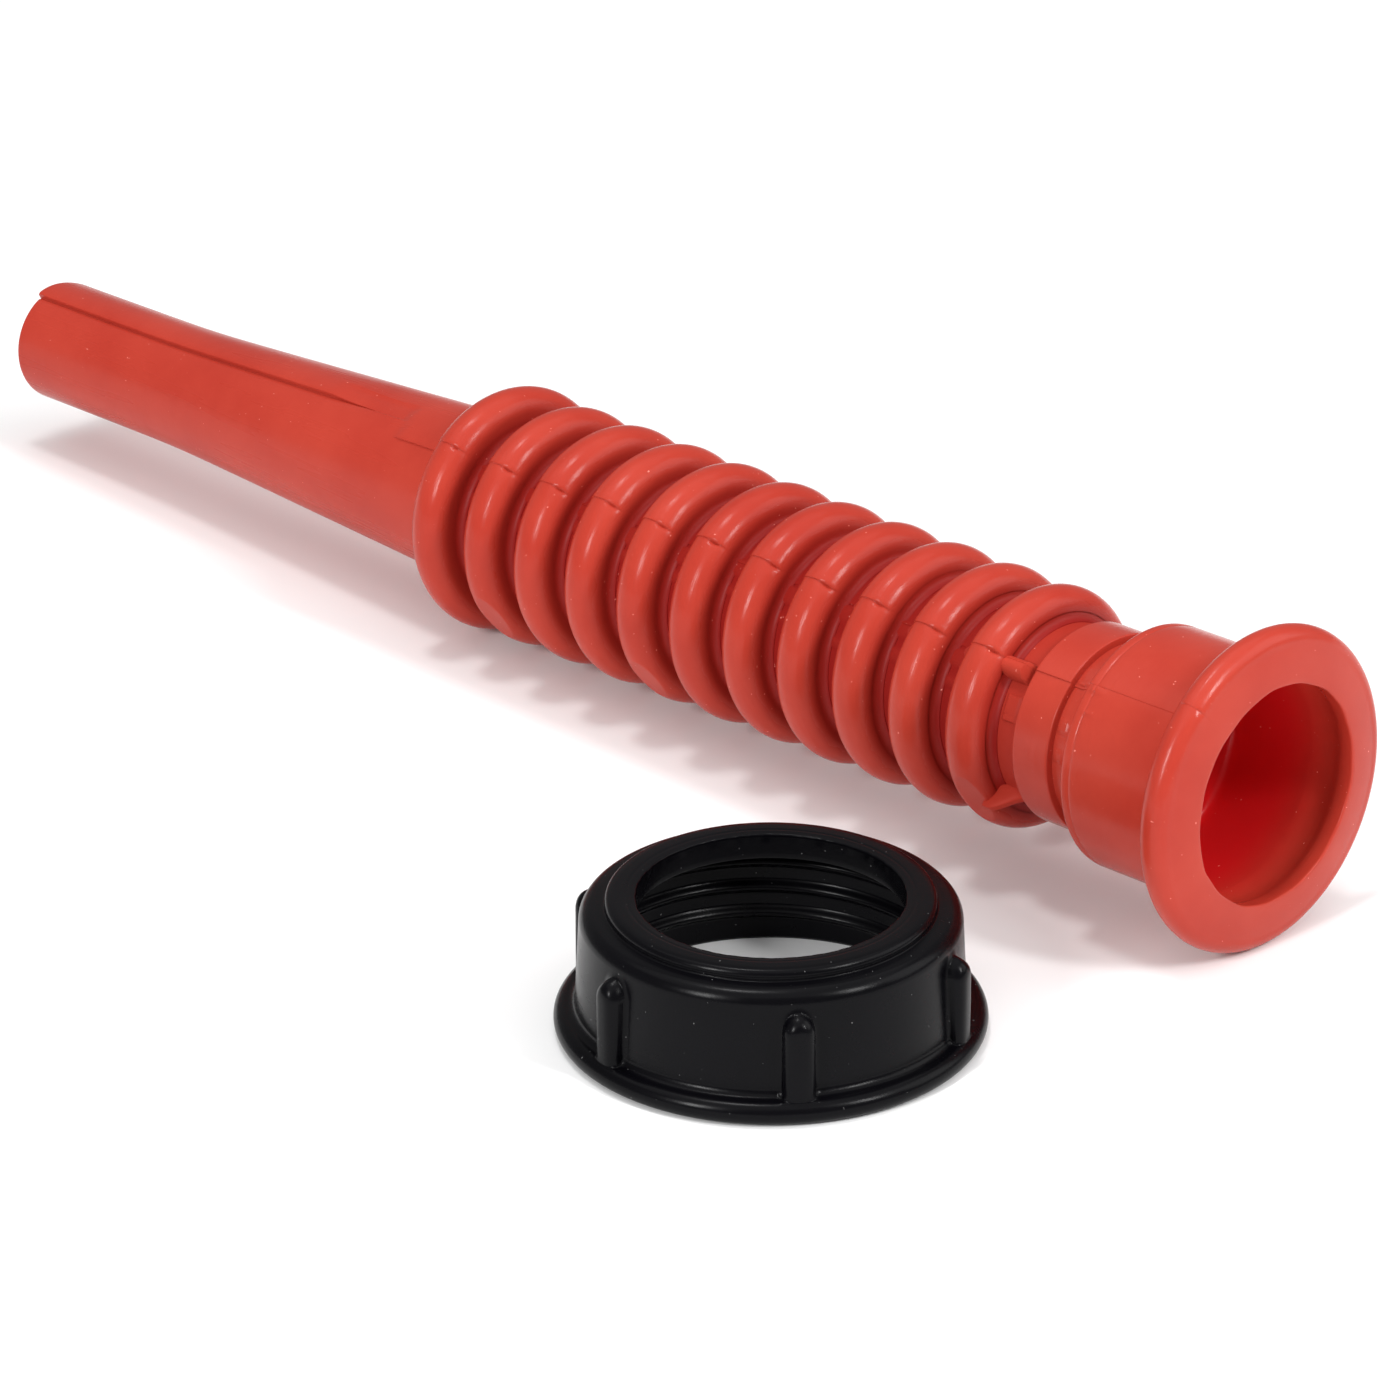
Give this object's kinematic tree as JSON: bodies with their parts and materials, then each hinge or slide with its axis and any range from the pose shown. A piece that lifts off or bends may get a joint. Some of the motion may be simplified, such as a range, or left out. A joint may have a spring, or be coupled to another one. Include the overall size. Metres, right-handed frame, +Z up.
{
  "type": "pouring spout",
  "caption": "Flexible fuel-can spout with a flanged inlet, a bellows and a long tapered nozzle, and the threaded collar that clamps it on a can.",
  "frame": {"origin": "on the surface that the pieces lie on, under the middle of the box round both of them", "axes": "+Z up, the collar's axis; +X along the length, from the nozzle's tip towards the flanged inlet; the collar lies on the -Y side"},
  "size_m": [0.2762, 0.1222, 0.049],
  "materials": {
    "spout_plastic": "satin, moulded polyethylene",
    "collar_plastic": "satin, moulded polyethylene"
  },
  "bodies": {
    "inlet": {"inlet_flange": "spout_plastic", "inlet_barrel": "spout_plastic", "neck_band": "spout_plastic"},
    "ring_01": {"crest_01": "spout_plastic", "web_01": "spout_plastic"},
    "ring_02": {"crest_02": "spout_plastic", "web_02": "spout_plastic"},
    "ring_03": {"crest_03": "spout_plastic", "web_03": "spout_plastic"},
    "ring_04": {"crest_04": "spout_plastic", "web_04": "spout_plastic"},
    "ring_05": {"crest_05": "spout_plastic", "web_05": "spout_plastic"},
    "ring_06": {"crest_06": "spout_plastic", "web_06": "spout_plastic"},
    "ring_07": {"crest_07": "spout_plastic", "web_07": "spout_plastic"},
    "ring_08": {"crest_08": "spout_plastic", "web_08": "spout_plastic"},
    "ring_09": {"crest_09": "spout_plastic", "web_09": "spout_plastic"},
    "ring_10": {"crest_10": "spout_plastic", "web_10": "spout_plastic"},
    "nozzle": {"crest_11": "spout_plastic", "web_11": "spout_plastic", "nozzle_cone": "spout_plastic", "nozzle_tip": "spout_plastic"},
    "collar": {"collar_shell": "collar_plastic", "collar_grip_ribs": "collar_plastic", "collar_thread": "collar_plastic"}
  },
  "joints": [
    {"name": "valley_01_lift", "type": "hinge", "parent": "inlet", "child": "ring_01", "pos_m": [0.09745, 0.03665, 0.02344], "axis": [0, 1, 0], "range_deg": [-12, 12], "stiffness_Nm_per_rad": 3, "deforming": ["web_01"]},
    {"name": "valley_02_swing", "type": "hinge", "parent": "ring_01", "child": "ring_02", "pos_m": [0.08583, 0.03665, 0.02311], "axis": [-0.0285, 0, 0.9996], "range_deg": [-12, 12], "stiffness_Nm_per_rad": 3, "deforming": ["web_02"]},
    {"name": "valley_03_lift", "type": "hinge", "parent": "ring_02", "child": "ring_03", "pos_m": [0.07434, 0.03665, 0.02278], "axis": [0, 1, 0], "range_deg": [-12, 12], "stiffness_Nm_per_rad": 3, "deforming": ["web_03"]},
    {"name": "valley_04_swing", "type": "hinge", "parent": "ring_03", "child": "ring_04", "pos_m": [0.06284, 0.03665, 0.02245], "axis": [-0.0285, 0, 0.9996], "range_deg": [-12, 12], "stiffness_Nm_per_rad": 3, "deforming": ["web_04"]},
    {"name": "valley_05_lift", "type": "hinge", "parent": "ring_04", "child": "ring_05", "pos_m": [0.05135, 0.03665, 0.02212], "axis": [0, 1, 0], "range_deg": [-12, 12], "stiffness_Nm_per_rad": 3, "deforming": ["web_05"]},
    {"name": "valley_06_swing", "type": "hinge", "parent": "ring_05", "child": "ring_06", "pos_m": [0.03985, 0.03665, 0.0218], "axis": [-0.0285, 0, 0.9996], "range_deg": [-12, 12], "stiffness_Nm_per_rad": 3, "deforming": ["web_06"]},
    {"name": "valley_07_lift", "type": "hinge", "parent": "ring_06", "child": "ring_07", "pos_m": [0.02836, 0.03665, 0.02147], "axis": [0, 1, 0], "range_deg": [-12, 12], "stiffness_Nm_per_rad": 3, "deforming": ["web_07"]},
    {"name": "valley_08_swing", "type": "hinge", "parent": "ring_07", "child": "ring_08", "pos_m": [0.01686, 0.03665, 0.02114], "axis": [-0.0285, 0, 0.9996], "range_deg": [-12, 12], "stiffness_Nm_per_rad": 3, "deforming": ["web_08"]},
    {"name": "valley_09_lift", "type": "hinge", "parent": "ring_08", "child": "ring_09", "pos_m": [0.00537, 0.03665, 0.02081], "axis": [0, 1, 0], "range_deg": [-12, 12], "stiffness_Nm_per_rad": 3, "deforming": ["web_09"]},
    {"name": "valley_10_swing", "type": "hinge", "parent": "ring_09", "child": "ring_10", "pos_m": [-0.00613, 0.03665, 0.02048], "axis": [-0.0285, 0, 0.9996], "range_deg": [-12, 12], "stiffness_Nm_per_rad": 3, "deforming": ["web_10"]},
    {"name": "valley_11_lift", "type": "hinge", "parent": "ring_10", "child": "nozzle", "pos_m": [-0.01762, 0.03665, 0.02016], "axis": [0, 1, 0], "range_deg": [-12, 12], "stiffness_Nm_per_rad": 3, "deforming": ["web_11"]},
    {"name": "collar_turn", "type": "hinge", "parent": "inlet", "child": "collar", "pos_m": [0.10286, -0.03055, 0], "axis": [0, 0, 1], "continuous": true}
  ],
  "couplings": [
    {"joint": "valley_03_lift", "follows": "valley_01_lift", "ratio": 1},
    {"joint": "valley_04_swing", "follows": "valley_02_swing", "ratio": 1},
    {"joint": "valley_05_lift", "follows": "valley_01_lift", "ratio": 1},
    {"joint": "valley_06_swing", "follows": "valley_02_swing", "ratio": 1},
    {"joint": "valley_07_lift", "follows": "valley_01_lift", "ratio": 1},
    {"joint": "valley_08_swing", "follows": "valley_02_swing", "ratio": 1},
    {"joint": "valley_09_lift", "follows": "valley_01_lift", "ratio": 1},
    {"joint": "valley_10_swing", "follows": "valley_02_swing", "ratio": 1},
    {"joint": "valley_11_lift", "follows": "valley_01_lift", "ratio": 1}
  ]
}
